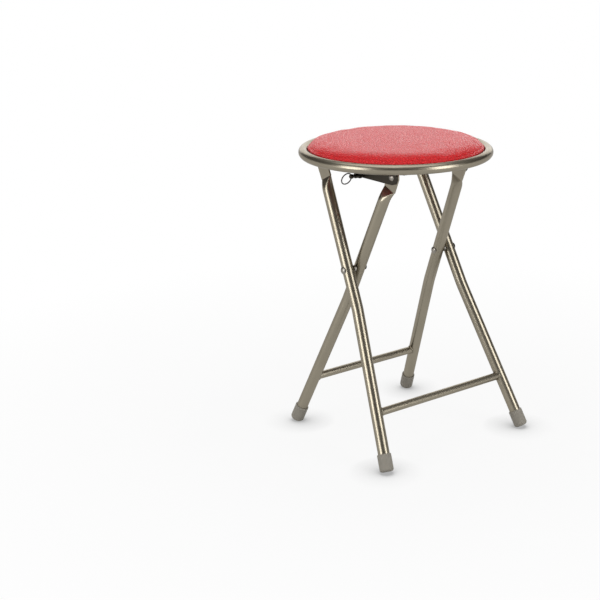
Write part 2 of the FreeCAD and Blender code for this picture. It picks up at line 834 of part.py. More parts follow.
def make_cover():
    """Vinyl drawn over the foam and turned under the board as a hem."""
    skin = given("cover_thickness")
    top = given("cushion_rise")
    bulge = board_radius + given("cushion_bulge")
    edge = given("cushion_edge")
    shoulder = given("cushion_shoulder")
    under = -given("board_thickness")
    outer_edge, outer_crown, outer_meet = crown_arcs(top, bulge + skin, edge, shoulder)
    inner_edge, inner_crown, inner_meet = crown_arcs(top - skin, bulge, edge - skin, shoulder)
    corners = [
        (ZERO, top - skin),
        inner_meet,
        (bulge, shoulder),
        (board_radius, ZERO),
        (board_radius, under),
        (hem_radius, under),
        (hem_radius, under - skin),
        (cover_radius, under - skin),
        (cover_radius, ZERO),
        (bulge + skin, shoulder),
        outer_meet,
        (ZERO, top),
    ]
    arcs = {0: inner_crown, 1: inner_edge, 9: outer_edge, 10: outer_crown}
    cover = turned("seat_cover", corners, arcs, "V_Axis")
    cover.Placement = placed(ZERO, seat_y, board_top)
    return cover


def folded_lock_hole():
    """Place of the hole that meets the lock pin when the stool is folded.

    The frames close until the outer crossbar meets the inner legs, and the link
    then lies beside the seat, so the hole is turned back from the pin by the
    angle that the link has swung.

    Returns:
        The hole's distances along the link and above it, from the link's eye.
    """
    near = (given("leg_tube") + given("crossbar_tube")) / 2 + side_gap * 2
    opening = near / outer.bar
    level = root(1 - opening * opening)
    tops_apart = outer_arm * outer_arm + inner_arm * inner_arm - outer_arm * inner_arm * level * 2
    level = (seat_arm * seat_arm + link_length * link_length - tops_apart) / (seat_arm * link_length * 2)
    lift = root(1 - level * level)
    return given("lock_drop") * lift, given("lock_drop") * level


def make_link(label, side):
    """Flat link from the inner leg's top to the middle of the seat."""
    body = new_body(label)
    half = given("link_width") / 2
    across = side * link_x
    bar = new_sketch(body, "YZ_Plane", across)
    far = -link_length
    corners = [(ZERO, -half), (ZERO, half), (far, half), (far - half, ZERO), (far, -half)]
    chain(bar, corners, {2: (far, ZERO), 3: (far, ZERO)})
    pad(body, bar, given("link_thickness"))
    eye = new_sketch(body, "YZ_Plane", across)
    circle(eye, ZERO, ZERO, given("link_eye"))
    pad(body, eye, given("link_thickness"))
    holes = new_sketch(body, "YZ_Plane")
    circle(holes, ZERO, ZERO, rivet_hole)
    circle(holes, far, ZERO, rivet_hole)
    if side == LEFT:
        pin_hole = given("pin_nose") / 2 + side_gap
        circle(holes, ZERO, -given("lock_drop"), pin_hole)
        along, above = folded_lock_hole()
        circle(holes, -along, above, pin_hole)
    drill(body, holes)
    body.Placement = placed(ZERO, link_pivot_y, given("seat_pivot_height"))
    return body


def lock_placement(roll=0.0):
    """Placement on the lock pin's axis, with X pointing out from the left rail."""
    outward = FreeCAD.Rotation(Z_AXIS, 180)
    spin = FreeCAD.Rotation(X_AXIS, roll)
    face = -(rail_inner_x + given("rail_sheet"))
    level = given("seat_pivot_height") - given("lock_drop")
    return placed(face, link_pivot_y, level, spin.multiply(outward))


# The lock pin is drawn back, so its collar stands off the rail by its travel
pin_clearance = given("pin_clearance")
collar_start = given("pin_travel") + pin_clearance
collar_end = keep("collar_end", collar_start + given("pin_collar_length"))
spring_height = given("spring_turns") * given("spring_pitch")
spring_room = spring_height + given("spring_wire") + pin_clearance * 2
barrel_inner = keep("barrel_inner", given("pin_collar") / 2 + given("spring_clearance"))
barrel_end = keep("barrel_end", collar_end + spring_room + given("barrel_wall"))
knob_start = keep("knob_start", barrel_end + given("pin_travel") + given("pin_neck"))
knob_middle = keep("knob_middle", knob_start + given("knob_length") / 2)


def make_lock_barrel():
    """Cup on the left rail that guides the lock pin and holds its spring."""
    wall = given("barrel_wall")
    bore = given("pin_stem") / 2 + pin_clearance
    foot = given("barrel_foot") / 2
    foot_length = given("barrel_foot_length")
    corners = [
        (ZERO, barrel_inner),
        (ZERO, foot),
        (foot_length, foot),
        (foot_length, barrel_inner + wall),
        (barrel_end, barrel_inner + wall),
        (barrel_end, bore),
        (barrel_end - wall, bore),
        (barrel_end - wall, barrel_inner),
    ]
    barrel = turned("lock_barrel", corners, {}, "H_Axis")
    barrel.Placement = lock_placement()
    return barrel


def make_lock_pin():
    """Turned pin with a nose, a spring collar and a rounded knob for the ring."""
    nose = given("pin_nose") / 2
    collar = given("pin_collar") / 2
    stem = given("pin_stem") / 2
    knob = given("knob_diameter") / 2
    rounding = given("knob_round")
    tip = pin_clearance - given("rail_sheet")
    knob_end = knob_start + given("knob_length")
    corners = [
        (tip, ZERO),
        (tip, nose),
        (collar_start, nose),
        (collar_start, collar),
        (collar_end, collar),
        (collar_end, stem),
        (knob_start, stem),
        (knob_start, knob - rounding),
        (knob_start + rounding, knob),
        (knob_end - rounding, knob),
        (knob_end, knob - rounding),
        (knob_end, ZERO),
    ]
    near_round = (knob_start + rounding, knob - rounding)
    far_round = (knob_end - rounding, knob - rounding)
    pin = turned("lock_pin", corners, {7: near_round, 9: far_round}, "H_Axis")
    eye = leaning_sketch(pin, knob_middle, ZERO, given("pull_ring_dip"), Y_AXIS)
    circle(eye, ZERO, ZERO, given("ring_hole") / 2)
    drill(pin, eye)
    pin.Placement = lock_placement(given("pull_ring_tilt").value)
    return pin


def make_lock_spring():
    """Coil between the pin's collar and the barrel's end, pressed together."""
    wire = given("spring_wire") / 2
    mean_radius = barrel_inner - wire - pin_clearance
    coil = tool(
        "Part::Helix",
        "lock_spring_line",
        {"Pitch": given("spring_pitch"), "Height": spring_height, "Radius": mean_radius},
        FreeCAD.Placement(),
    )
    start = placed(mean_radius, ZERO, ZERO, FreeCAD.Rotation(X_AXIS, 90))
    section = tool("Part::Circle", "lock_spring_wire", {"Radius": wire}, start)
    document.recompute()
    spring = document.addObject("Part::Sweep", "lock_spring")
    spring.Label = "lock_spring"
    spring.Sections = [section]
    spring.Spine = (coil, ["Edge1"])
    spring.Solid = True
    spring.Frenet = True
    first_turn = placed(collar_end + wire + pin_clearance, ZERO, ZERO, FreeCAD.Rotation(Y_AXIS, 90))
    spring.Placement = lock_placement().multiply(first_turn)
    return spring


def make_pull_ring():
    """Wire ring through the knob, standing out from it and drooping a little."""
    wire = given("pull_ring_wire") / 2
    radius = keep("pull_ring_radius", given("pull_ring_diameter") / 2 - wire)
    droop = placed(knob_middle, ZERO, ZERO, FreeCAD.Rotation(Y_AXIS, given("pull_ring_dip").value))
    upright = placed(radius, ZERO, ZERO, FreeCAD.Rotation(X_AXIS, 90))
    place = lock_placement(given("pull_ring_tilt").value).multiply(droop).multiply(upright)
    ring = tool("Part::Torus", "pull_ring", {"Radius1": radius, "Radius2": wire}, place)
    ring.Label = "pull_ring"
    return ring


def leg_reach(radius):
    """Distance from a leg's middle to a flat disc that just clears its leaning side."""
    splay = given("upper_splay")
    return leg_radius / cosine(splay) + radius * tangent(splay) + side_gap


def make_spacers():
    """Bushes that keep the crossed legs apart on the scissor rivets."""
    reach = keep("spacer_reach", leg_reach(given("spacer_diameter") / 2))
    start = inner.scissor_x + reach
    length = outer.scissor_x - reach - start
    pair = []
    for side in (LEFT, RIGHT):
        bush = new_body(f"spacer_{'left' if side == LEFT else 'right'}")
        ring = new_sketch(bush, "YZ_Plane", side * (start + length / 2))
        circle(ring, ZERO, ZERO, given("spacer_diameter") / 2)
        circle(ring, ZERO, ZERO, rivet_hole)
        pad(bush, ring, length)
        bush.Placement = placed(ZERO, scissor_y, given("scissor_height"))
        pair.append(bush)
    return group("scissor_spacers", pair)


def make_pivot_rivets():
    """All rivets of the fold, each pair under the name of the pivot it makes."""
    pivot = given("seat_pivot_height")
    half_tab = tab_thickness / 2
    half_link = given("link_thickness") / 2
    outer_top = keep("outer_top", scissor_y + outer_top_y)
    inner_top = keep("inner_top", scissor_y - inner_top_y)
    reach = keep("scissor_reach", leg_reach(given("rivet_head") / 2))
    lug_inside = rail_outer_x - given("rail_sheet")
    flange_outside = rail_inner_x + given("rail_sheet")
    eye = {"head": given("eye_rivet_head") / 2, "crown": given("eye_rivet_crown")}
    return [
        group("seat_pivot_rivets", make_rivets(
            "seat_pivot", lug_inside, outer_tab_x + half_tab, outer_top, pivot)),
        group("link_pivot_rivets", make_rivets(
            "link_pivot", link_x - half_link, flange_outside, link_pivot_y, pivot, **eye)),
        group("scissor_rivets", make_rivets(
            "scissor", inner.scissor_x - reach, outer.scissor_x + reach,
            scissor_y, given("scissor_height"))),
        group("inner_top_rivets", make_rivets(
            "inner_top", inner_tab_x - half_tab, inner_tab_x + half_tab, inner_top, pivot, ("start",))),
        *make_rivets(
            "link_rivet", link_x - half_link, link_x + half_link, inner_top, pivot, ("finish",)),
    ]


def build():
    """Builds every piece of the stool and returns them in order."""
    reach = given("seat_diameter")
    corner = placed(-reach, -reach, -reach)
    slab = {"Length": reach * 2, "Width": reach * 2, "Height": reach}
    floor = tool("Part::Box", "floor", slab, corner)
    pieces = [make_ring(), make_board(), make_foam(), make_cover(), make_screws()]
    for side, word in ((LEFT, "left"), (RIGHT, "right")):
        pieces.append(make_rail(f"seat_rail_{word}", side))
        pieces.append(make_link(f"link_{word}", side))
        for frame in (outer, inner):
            pieces.append(make_leg(f"{frame.name}_leg_{word}", frame, side))
            pieces.append(make_foot(f"{frame.name}_foot_{word}", frame, side, floor))
    for frame in (outer, inner):
        pieces.append(make_crossbar(f"{frame.name}_crossbar", frame))
    pieces += make_pivot_rivets()
    pieces.append(make_spacers())
    pieces += [make_lock_barrel(), make_lock_spring(), make_lock_pin(), make_pull_ring()]
    return pieces


def write(pieces):
    """Checks the document and every piece, then writes one file for each."""
    document.recompute()
    for thing in document.Objects:
        if "Invalid" in thing.State or "Error" in thing.State:
            raise RuntimeError(f"{thing.Label} did not build")
    for piece in pieces:
        if piece.Shape.isNull() or not piece.Shape.isValid() or not piece.Shape.Solids:
            raise RuntimeError(f"{piece.Label} is not a sound solid")
    os.makedirs("parts", exist_ok=True)
    for piece in pieces:
        piece.Shape.exportStep(f"parts/{piece.Label}.step")


write(build())
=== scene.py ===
"""Looks of the folding stool: padded red seat, satin tube frames, dark fittings."""

import json
import logging
import math
from dataclasses import dataclass
from enum import Enum

import bpy
from mathutils import Matrix, Vector


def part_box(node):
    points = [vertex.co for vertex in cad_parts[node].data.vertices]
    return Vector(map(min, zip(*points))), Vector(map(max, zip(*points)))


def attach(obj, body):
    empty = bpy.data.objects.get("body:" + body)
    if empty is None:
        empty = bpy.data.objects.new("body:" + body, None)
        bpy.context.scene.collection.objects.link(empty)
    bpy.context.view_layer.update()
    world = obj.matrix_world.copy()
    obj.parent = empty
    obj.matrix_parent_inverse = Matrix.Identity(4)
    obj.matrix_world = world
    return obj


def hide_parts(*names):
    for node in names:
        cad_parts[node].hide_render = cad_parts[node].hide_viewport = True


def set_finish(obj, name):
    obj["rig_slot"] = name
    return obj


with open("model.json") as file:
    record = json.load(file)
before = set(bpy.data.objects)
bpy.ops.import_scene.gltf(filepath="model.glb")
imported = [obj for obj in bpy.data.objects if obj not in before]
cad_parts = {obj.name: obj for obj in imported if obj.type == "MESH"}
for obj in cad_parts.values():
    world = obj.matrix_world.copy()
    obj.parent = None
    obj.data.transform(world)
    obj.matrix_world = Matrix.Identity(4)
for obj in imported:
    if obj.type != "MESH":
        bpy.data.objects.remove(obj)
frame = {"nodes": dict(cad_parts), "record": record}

LOG = logging.getLogger("folding_stool")
MM = 0.001

Color = tuple[float, float, float]
Point = tuple[float, float, float]
Range = tuple[float, float]
Ring = tuple[float, float]


class Side(Enum):
    """The two sides of the stool, by the sign of X."""

    LEFT = -1
    RIGHT = 1


class Slot(Enum):
    """Material slots of the part."""

    TUBE = "tube_steel"
    VINYL = "seat_vinyl"
    FOOT = "foot_plastic"
    DARK = "dark_steel"
    RIVET = "rivet_steel"
    SPRING = "spring_steel"
    BOARD = "board_wood"
    FOAM = "seat_foam"


class NodeDesk:
    """Lays out and wires shader nodes in one tree."""

    COLUMN_WIDTH = 180
    # A mix node has its own pair of inputs and its own output for each data type
    MIX_SOCKETS = {"RGBA": (6, 7, 2), "VECTOR": (4, 5, 1)}

    def __init__(self, tree: bpy.types.NodeTree) -> None:
        """Takes a tree and starts at its left edge."""
        self.tree = tree
        self.column = 0

    def add(self, kind: str, **inputs: object) -> bpy.types.Node:
        """Adds a node and sets or links its inputs.

        Args:
            kind: node type name.
            inputs: values or output sockets, by input name with _ for a space.

        Returns:
            The new node.
        """
        node = self.tree.nodes.new(kind)
        node.location = (self.column * self.COLUMN_WIDTH, 0)
        self.column += 1
        for name, value in inputs.items():
            self.feed(node.inputs[name.replace("_", " ")], value)
        return node

    def feed(self, socket: bpy.types.NodeSocket, value: object) -> None:
        """Links an output socket to an input, or sets the input's value."""
        if isinstance(value, bpy.types.NodeSocket):
            self.tree.links.new(value, socket)
        else:
            socket.default_value = value

    def math(self, operation: str, first: object, second: object) -> bpy.types.NodeSocket:
        """Adds a math node and returns its result."""
        node = self.tree.nodes.new("ShaderNodeMath")
        node.operation = operation
        self.feed(node.inputs[0], first)
        self.feed(node.inputs[1], second)
        return node.outputs[0]

    def weigh(self, first: object, second: object, share: float) -> bpy.types.NodeSocket:
        """Adds two values, the first by its share and the second by the rest of it."""
        rest = self.math("MULTIPLY", second, 1.0 - share)
        return self.math("ADD", self.math("MULTIPLY", first, share), rest)

    def blend(
        self, share: object, first: object, second: object, kind: str = "RGBA"
    ) -> bpy.types.NodeSocket:
        """Mixes two colours or vectors.

        Args:
            share: share of the second one.
            first: what shows at a share of 0.
            second: what shows at a share of 1.
            kind: data type of the mix node.

        Returns:
            The mixed colour or vector.
        """
        node = self.tree.nodes.new("ShaderNodeMix")
        node.data_type = kind
        start, end, result = self.MIX_SOCKETS[kind]
        self.feed(node.inputs["Factor"], share)
        self.feed(node.inputs[start], first)
        self.feed(node.inputs[end], second)
        return node.outputs[result]

    def remap(
        self, value: object, low: float, high: float, start: float, end: float
    ) -> bpy.types.NodeSocket:
        """Maps the range from low to high to the range from start to end and returns the result."""
        node = self.tree.nodes.new("ShaderNodeMapRange")
        self.feed(node.inputs["Value"], value)
        node.inputs["From Min"].default_value = low
        node.inputs["From Max"].default_value = high
        node.inputs["To Min"].default_value = start
        node.inputs["To Max"].default_value = end
        return node.outputs["Result"]


class Effects:
    """Surface effects that several finishes share, each built once as a node group."""

    SPECKLE_DETAIL = 3.0
    SPECKLE_RANGE: Range = (0.35, 0.65)
    HANDLING_DETAIL = 4.0
    MEAN = 0.5

    def __init__(self) -> None:
        """Builds the groups."""
        self.speckle = self.build_speckle()
        self.handling = self.build_handling()

    @staticmethod
    def start_group(name: str, inputs: dict[str, float], outputs: list[str]) -> bpy.types.NodeTree:
        """Starts a group of value inputs and outputs.

        Args:
            name: the group's name.
            inputs: default values by name.
            outputs: names of the values that it puts out.

        Returns:
            The empty group.
        """
        tree = bpy.data.node_groups.new(name, "ShaderNodeTree")
        tree.interface.new_socket("Vector", in_out="INPUT", socket_type="NodeSocketVector")
        for label, value in inputs.items():
            socket = tree.interface.new_socket(label, in_out="INPUT", socket_type="NodeSocketFloat")
            socket.default_value = value
        for label in outputs:
            tree.interface.new_socket(label, in_out="OUTPUT", socket_type="NodeSocketFloat")
        return tree

    def build_speckle(self) -> bpy.types.NodeTree:
        """Builds the fine even grain of a sprayed, plated or moulded surface."""
        tree = self.start_group("fine_speckle", {"Scale": 800.0, "Softness": 0.5}, ["Height", "Mask"])
        desk = NodeDesk(tree)
        entry = desk.add("NodeGroupInput").outputs
        noise = desk.add(
            "ShaderNodeTexNoise", Vector=entry["Vector"], Scale=entry["Scale"],
            Detail=self.SPECKLE_DETAIL, Roughness=entry["Softness"],
        )
        leave = desk.add("NodeGroupOutput")
        desk.feed(leave.inputs["Height"], noise.outputs["Fac"])
        desk.feed(leave.inputs["Mask"], desk.remap(noise.outputs["Fac"], *self.SPECKLE_RANGE, 0.0, 1.0))
        return tree

    def build_handling(self) -> bpy.types.NodeTree:
        """Builds the broad uneven gloss that handling and cleaning leave."""
        tree = self.start_group("handling_marks", {"Scale": 18.0, "Contrast": 0.5}, ["Mask"])
        desk = NodeDesk(tree)
        entry = desk.add("NodeGroupInput").outputs
        broad = desk.add(
            "ShaderNodeTexNoise", Vector=entry["Vector"], Scale=entry["Scale"], Detail=self.HANDLING_DETAIL
        )
        swing = desk.math("SUBTRACT", broad.outputs["Fac"], self.MEAN)
        spread = desk.math("MULTIPLY", swing, entry["Contrast"])
        leave = desk.add("NodeGroupOutput")
        desk.feed(leave.inputs["Mask"], desk.math("ADD", spread, self.MEAN))
        return tree


class Finish:
    """A finish that builds one material for a slot."""

    slot: Slot

    def start(self) -> tuple[bpy.types.Material, NodeDesk, bpy.types.Node, bpy.types.NodeSocket]:
        """Starts a material.

        Returns:
            The material, its node desk, its surface shader and object coordinates.
        """
        material = bpy.data.materials.new(self.slot.value)
        material.use_nodes = True
        material.node_tree.nodes.clear()
        desk = NodeDesk(material.node_tree)
        place = desk.add("ShaderNodeTexCoord").outputs["Object"]
        shader = desk.add("ShaderNodeBsdfPrincipled")
        desk.add("ShaderNodeOutputMaterial", Surface=shader.outputs["BSDF"])
        return material, desk, shader, place

    @staticmethod
    def bump(desk: NodeDesk, height: object, depth: float, strength: float) -> bpy.types.NodeSocket:
        """Turns a height into a normal and returns it."""
        node = desk.add("ShaderNodeBump", Height=height, Distance=depth, Strength=strength)
        return node.outputs["Normal"]

    @staticmethod
    def place_group(
        desk: NodeDesk, tree: bpy.types.NodeTree, place: bpy.types.NodeSocket, **values: float
    ) -> bpy.types.Node:
        """Puts a shared effect into a material with its own values."""
        node = desk.add("ShaderNodeGroup")
        node.node_tree = tree
        desk.feed(node.inputs["Vector"], place)
        for name, value in values.items():
            node.inputs[name].default_value = value
        return node


@dataclass(frozen=True)
class MetalFinish(Finish):
    """Plated or painted metal with a fine speckle and uneven gloss."""

    slot: Slot
    color: Color
    shade: Color
    roughness: Range
    speckle_scale: float
    depth: float
    glance: Color = (1.0, 1.0, 1.0)
    speckle_softness: float = 0.6
    marks_scale: float = 26.0
    marks_contrast: float = 0.9
    marks_share: float = 0.7
    wear_range: Range = (0.2, 0.8)
    relief: float = 0.05

    def build(self, effects: Effects) -> bpy.types.Material:
        """Builds the material."""
        material, desk, shader, place = self.start()
        grain = self.place_group(
            desk, effects.speckle, place, Scale=self.speckle_scale, Softness=self.speckle_softness
        )
        marks = self.place_group(
            desk, effects.handling, place, Scale=self.marks_scale, Contrast=self.marks_contrast
        )
        tone = desk.blend(marks.outputs["Mask"], (*self.color, 1.0), (*self.shade, 1.0))
        desk.feed(shader.inputs["Base Color"], tone)
        shader.inputs["Metallic"].default_value = 1.0
        shader.inputs["Specular Tint"].default_value = (*self.glance, 1.0)
        wear = desk.weigh(marks.outputs["Mask"], grain.outputs["Mask"], self.marks_share)
        desk.feed(shader.inputs["Roughness"], desk.remap(wear, *self.wear_range, *self.roughness))
        normal = self.bump(desk, grain.outputs["Height"], self.depth, self.relief)
        desk.feed(shader.inputs["Normal"], normal)
        return material


@dataclass(frozen=True)
class VinylFinish(Finish):
    """Grained seat vinyl: small rounded pebbles with fine creases between them, which carry painted shade.
    """

    slot: Slot
    color: Color
    painted_crease_shade: Color
    pebble_scale: float
    roughness: Range
    sheen: float
    gloss: float
    warp_scale: float = 0.35
    warp_detail: float = 2.0
    warp_share: float = 0.0015
    pebble_edge: float = 0.22
    painted_shade_share: float = 0.6
    pore_scale: float = 2.0
    pore_softness: float = 0.6
    pore_height: float = 1.6
    marks_scale: float = 14.0
    marks_contrast: float = 0.8
    marks_share: float = 0.4
    wear_range: Range = (0.15, 0.85)
    depth: float = 0.8 * MM
    relief: float = 0.9
    sheen_roughness: float = 0.4
    sheen_tint: Color = (1.0, 0.75, 0.75)

    def build(self, effects: Effects) -> bpy.types.Material:
        """Builds the material."""
        material, desk, shader, place = self.start()
        warp = desk.add(
            "ShaderNodeTexNoise", Vector=place, Scale=self.pebble_scale * self.warp_scale,
            Detail=self.warp_detail,
        )
        bent = desk.blend(self.warp_share, place, warp.outputs["Color"], "VECTOR")
        pebbles = desk.add("ShaderNodeTexVoronoi", Vector=bent, Scale=self.pebble_scale)
        pebbles.feature = "DISTANCE_TO_EDGE"
        rounded = desk.remap(pebbles.outputs["Distance"], 0.0, self.pebble_edge, 0.0, 1.0)
        pores = self.place_group(
            desk, effects.speckle, place, Scale=self.pebble_scale * self.pore_scale,
            Softness=self.pore_softness,
        )
        marks = self.place_group(
            desk, effects.handling, place, Scale=self.marks_scale, Contrast=self.marks_contrast
        )
        height = desk.math("ADD", rounded, desk.math("MULTIPLY", pores.outputs["Height"], self.pore_height))
        # Painted shade: the red darkens towards each pebble's edge, in the creases between pebbles
        painted_shade_amount = desk.remap(rounded, 0.0, 1.0, self.painted_shade_share, 0.0)
        crease_shaded_tone = desk.blend(painted_shade_amount, (*self.color, 1.0), (*self.painted_crease_shade, 1.0))
        desk.feed(shader.inputs["Base Color"], crease_shaded_tone)
        wear = desk.weigh(marks.outputs["Mask"], pores.outputs["Mask"], self.marks_share)
        desk.feed(shader.inputs["Roughness"], desk.remap(wear, *self.wear_range, *self.roughness))
        desk.feed(shader.inputs["Normal"], self.bump(desk, height, self.depth, self.relief))
        shader.inputs["Specular IOR Level"].default_value = self.gloss
        shader.inputs["Sheen Weight"].default_value = self.sheen
        shader.inputs["Sheen Roughness"].default_value = self.sheen_roughness
        shader.inputs["Sheen Tint"].default_value = (*self.sheen_tint, 1.0)
        return material


@dataclass(frozen=True)
class PlasticFinish(Finish):
    """Matte moulded plastic with a fine eroded texture."""

    slot: Slot
    color: Color
    scuff: Color
    roughness: Range
    grain_scale: float = 1500.0
    grain_softness: float = 0.7
    marks_scale: float = 60.0
    marks_contrast: float = 1.4
    depth: float = 0.2 * MM
    relief: float = 0.4

    def build(self, effects: Effects) -> bpy.types.Material:
        """Builds the material."""
        material, desk, shader, place = self.start()
        grain = self.place_group(
            desk, effects.speckle, place, Scale=self.grain_scale, Softness=self.grain_softness
        )
        marks = self.place_group(
            desk, effects.handling, place, Scale=self.marks_scale, Contrast=self.marks_contrast
        )
        tone = desk.blend(marks.outputs["Mask"], (*self.color, 1.0), (*self.scuff, 1.0))
        desk.feed(shader.inputs["Base Color"], tone)
        desk.feed(shader.inputs["Roughness"], desk.remap(grain.outputs["Mask"], 0.0, 1.0, *self.roughness))
        normal = self.bump(desk, grain.outputs["Height"], self.depth, self.relief)
        desk.feed(shader.inputs["Normal"], normal)
        return material


@dataclass(frozen=True)
class WoodFinish(Finish):
    """Raw plywood: long wavering grain with darker pores."""

    slot: Slot
    pale: Color
    dark: Color
    stretch: Point = (1.0, 0.06, 1.0)
    figure_scale: float = 70.0
    figure_detail: float = 5.0
    figure_waver: float = 0.8
    figure_range: Range = (0.3, 0.7)
    figure_share: float = 0.6
    fibre_scale: float = 900.0
    fibre_softness: float = 0.7
    roughness: Range = (0.55, 0.8)
    depth: float = 0.3 * MM
    relief: float = 0.3

    def build(self, effects: Effects) -> bpy.types.Material:
        """Builds the material."""
        material, desk, shader, place = self.start()
        along = desk.add("ShaderNodeMapping", Vector=place, Scale=self.stretch).outputs["Vector"]
        rings = desk.add(
            "ShaderNodeTexNoise", Vector=along, Scale=self.figure_scale, Detail=self.figure_detail,
            Distortion=self.figure_waver,
        )
        fibres = self.place_group(
            desk, effects.speckle, along, Scale=self.fibre_scale, Softness=self.fibre_softness
        )
        figure = desk.remap(rings.outputs["Fac"], *self.figure_range, 0.0, 1.0)
        grain = desk.weigh(figure, fibres.outputs["Mask"], self.figure_share)
        desk.feed(shader.inputs["Base Color"], desk.blend(grain, (*self.pale, 1.0), (*self.dark, 1.0)))
        desk.feed(shader.inputs["Roughness"], desk.remap(grain, 0.0, 1.0, *self.roughness))
        desk.feed(shader.inputs["Normal"], self.bump(desk, grain, self.depth, self.relief))
        return material


@dataclass(frozen=True)
class FoamFinish(Finish):
    """Open-cell foam, hidden under the cover."""

    slot: Slot
    color: Color
    cell_scale: float = 700.0
    cell_softness: float = 0.8
    cell_shade: float = 0.8
    roughness: float = 0.9
    depth: float = 0.6 * MM
    relief: float = 0.6

    def build(self, effects: Effects) -> bpy.types.Material:
        """Builds the material."""
        material, desk, shader, place = self.start()
        cells = self.place_group(
            desk, effects.speckle, place, Scale=self.cell_scale, Softness=self.cell_softness
        )
        shaded = tuple(self.cell_shade * channel for channel in self.color)
        tone = desk.blend(cells.outputs["Mask"], (*self.color, 1.0), (*shaded, 1.0))
        desk.feed(shader.inputs["Base Color"], tone)
        shader.inputs["Roughness"].default_value = self.roughness
        normal = self.bump(desk, cells.outputs["Height"], self.depth, self.relief)
        desk.feed(shader.inputs["Normal"], normal)
        return material


FINISHES: tuple[Finish, ...] = (
    MetalFinish(
        Slot.TUBE, color=(0.29, 0.260, 0.203), shade=(0.23, 0.206, 0.158), roughness=(0.27, 0.34),
        speckle_scale=1100.0, depth=0.03 * MM, glance=(0.70, 0.68, 0.66),
    ),
    MetalFinish(
        Slot.RIVET, color=(0.30, 0.28, 0.25), shade=(0.22, 0.205, 0.18), roughness=(0.30, 0.42),
        speckle_scale=1300.0, depth=0.04 * MM, glance=(0.7, 0.68, 0.66),
    ),
    MetalFinish(
        Slot.DARK, color=(0.050, 0.043, 0.034), shade=(0.030, 0.026, 0.020), roughness=(0.30, 0.45),
        speckle_scale=1400.0, depth=0.08 * MM,
    ),
    MetalFinish(
        Slot.SPRING, color=(0.40, 0.40, 0.41), shade=(0.30, 0.30, 0.31), roughness=(0.25, 0.35),
        speckle_scale=2000.0, depth=0.03 * MM,
    ),
    # The vinyl's second red is painted shade for the grain's creases
    VinylFinish(
        Slot.VINYL, color=(0.64, 0.009, 0.013), painted_crease_shade=(0.36, 0.004, 0.006), pebble_scale=250.0,
        roughness=(0.30, 0.55), sheen=0.05, gloss=0.28,
    ),
    PlasticFinish(
        Slot.FOOT, color=(0.20, 0.184, 0.152), scuff=(0.24, 0.222, 0.188), roughness=(0.55, 0.75)
    ),
    WoodFinish(Slot.BOARD, pale=(0.62, 0.46, 0.29), dark=(0.42, 0.27, 0.14)),
    FoamFinish(Slot.FOAM, color=(0.78, 0.74, 0.60)),
)


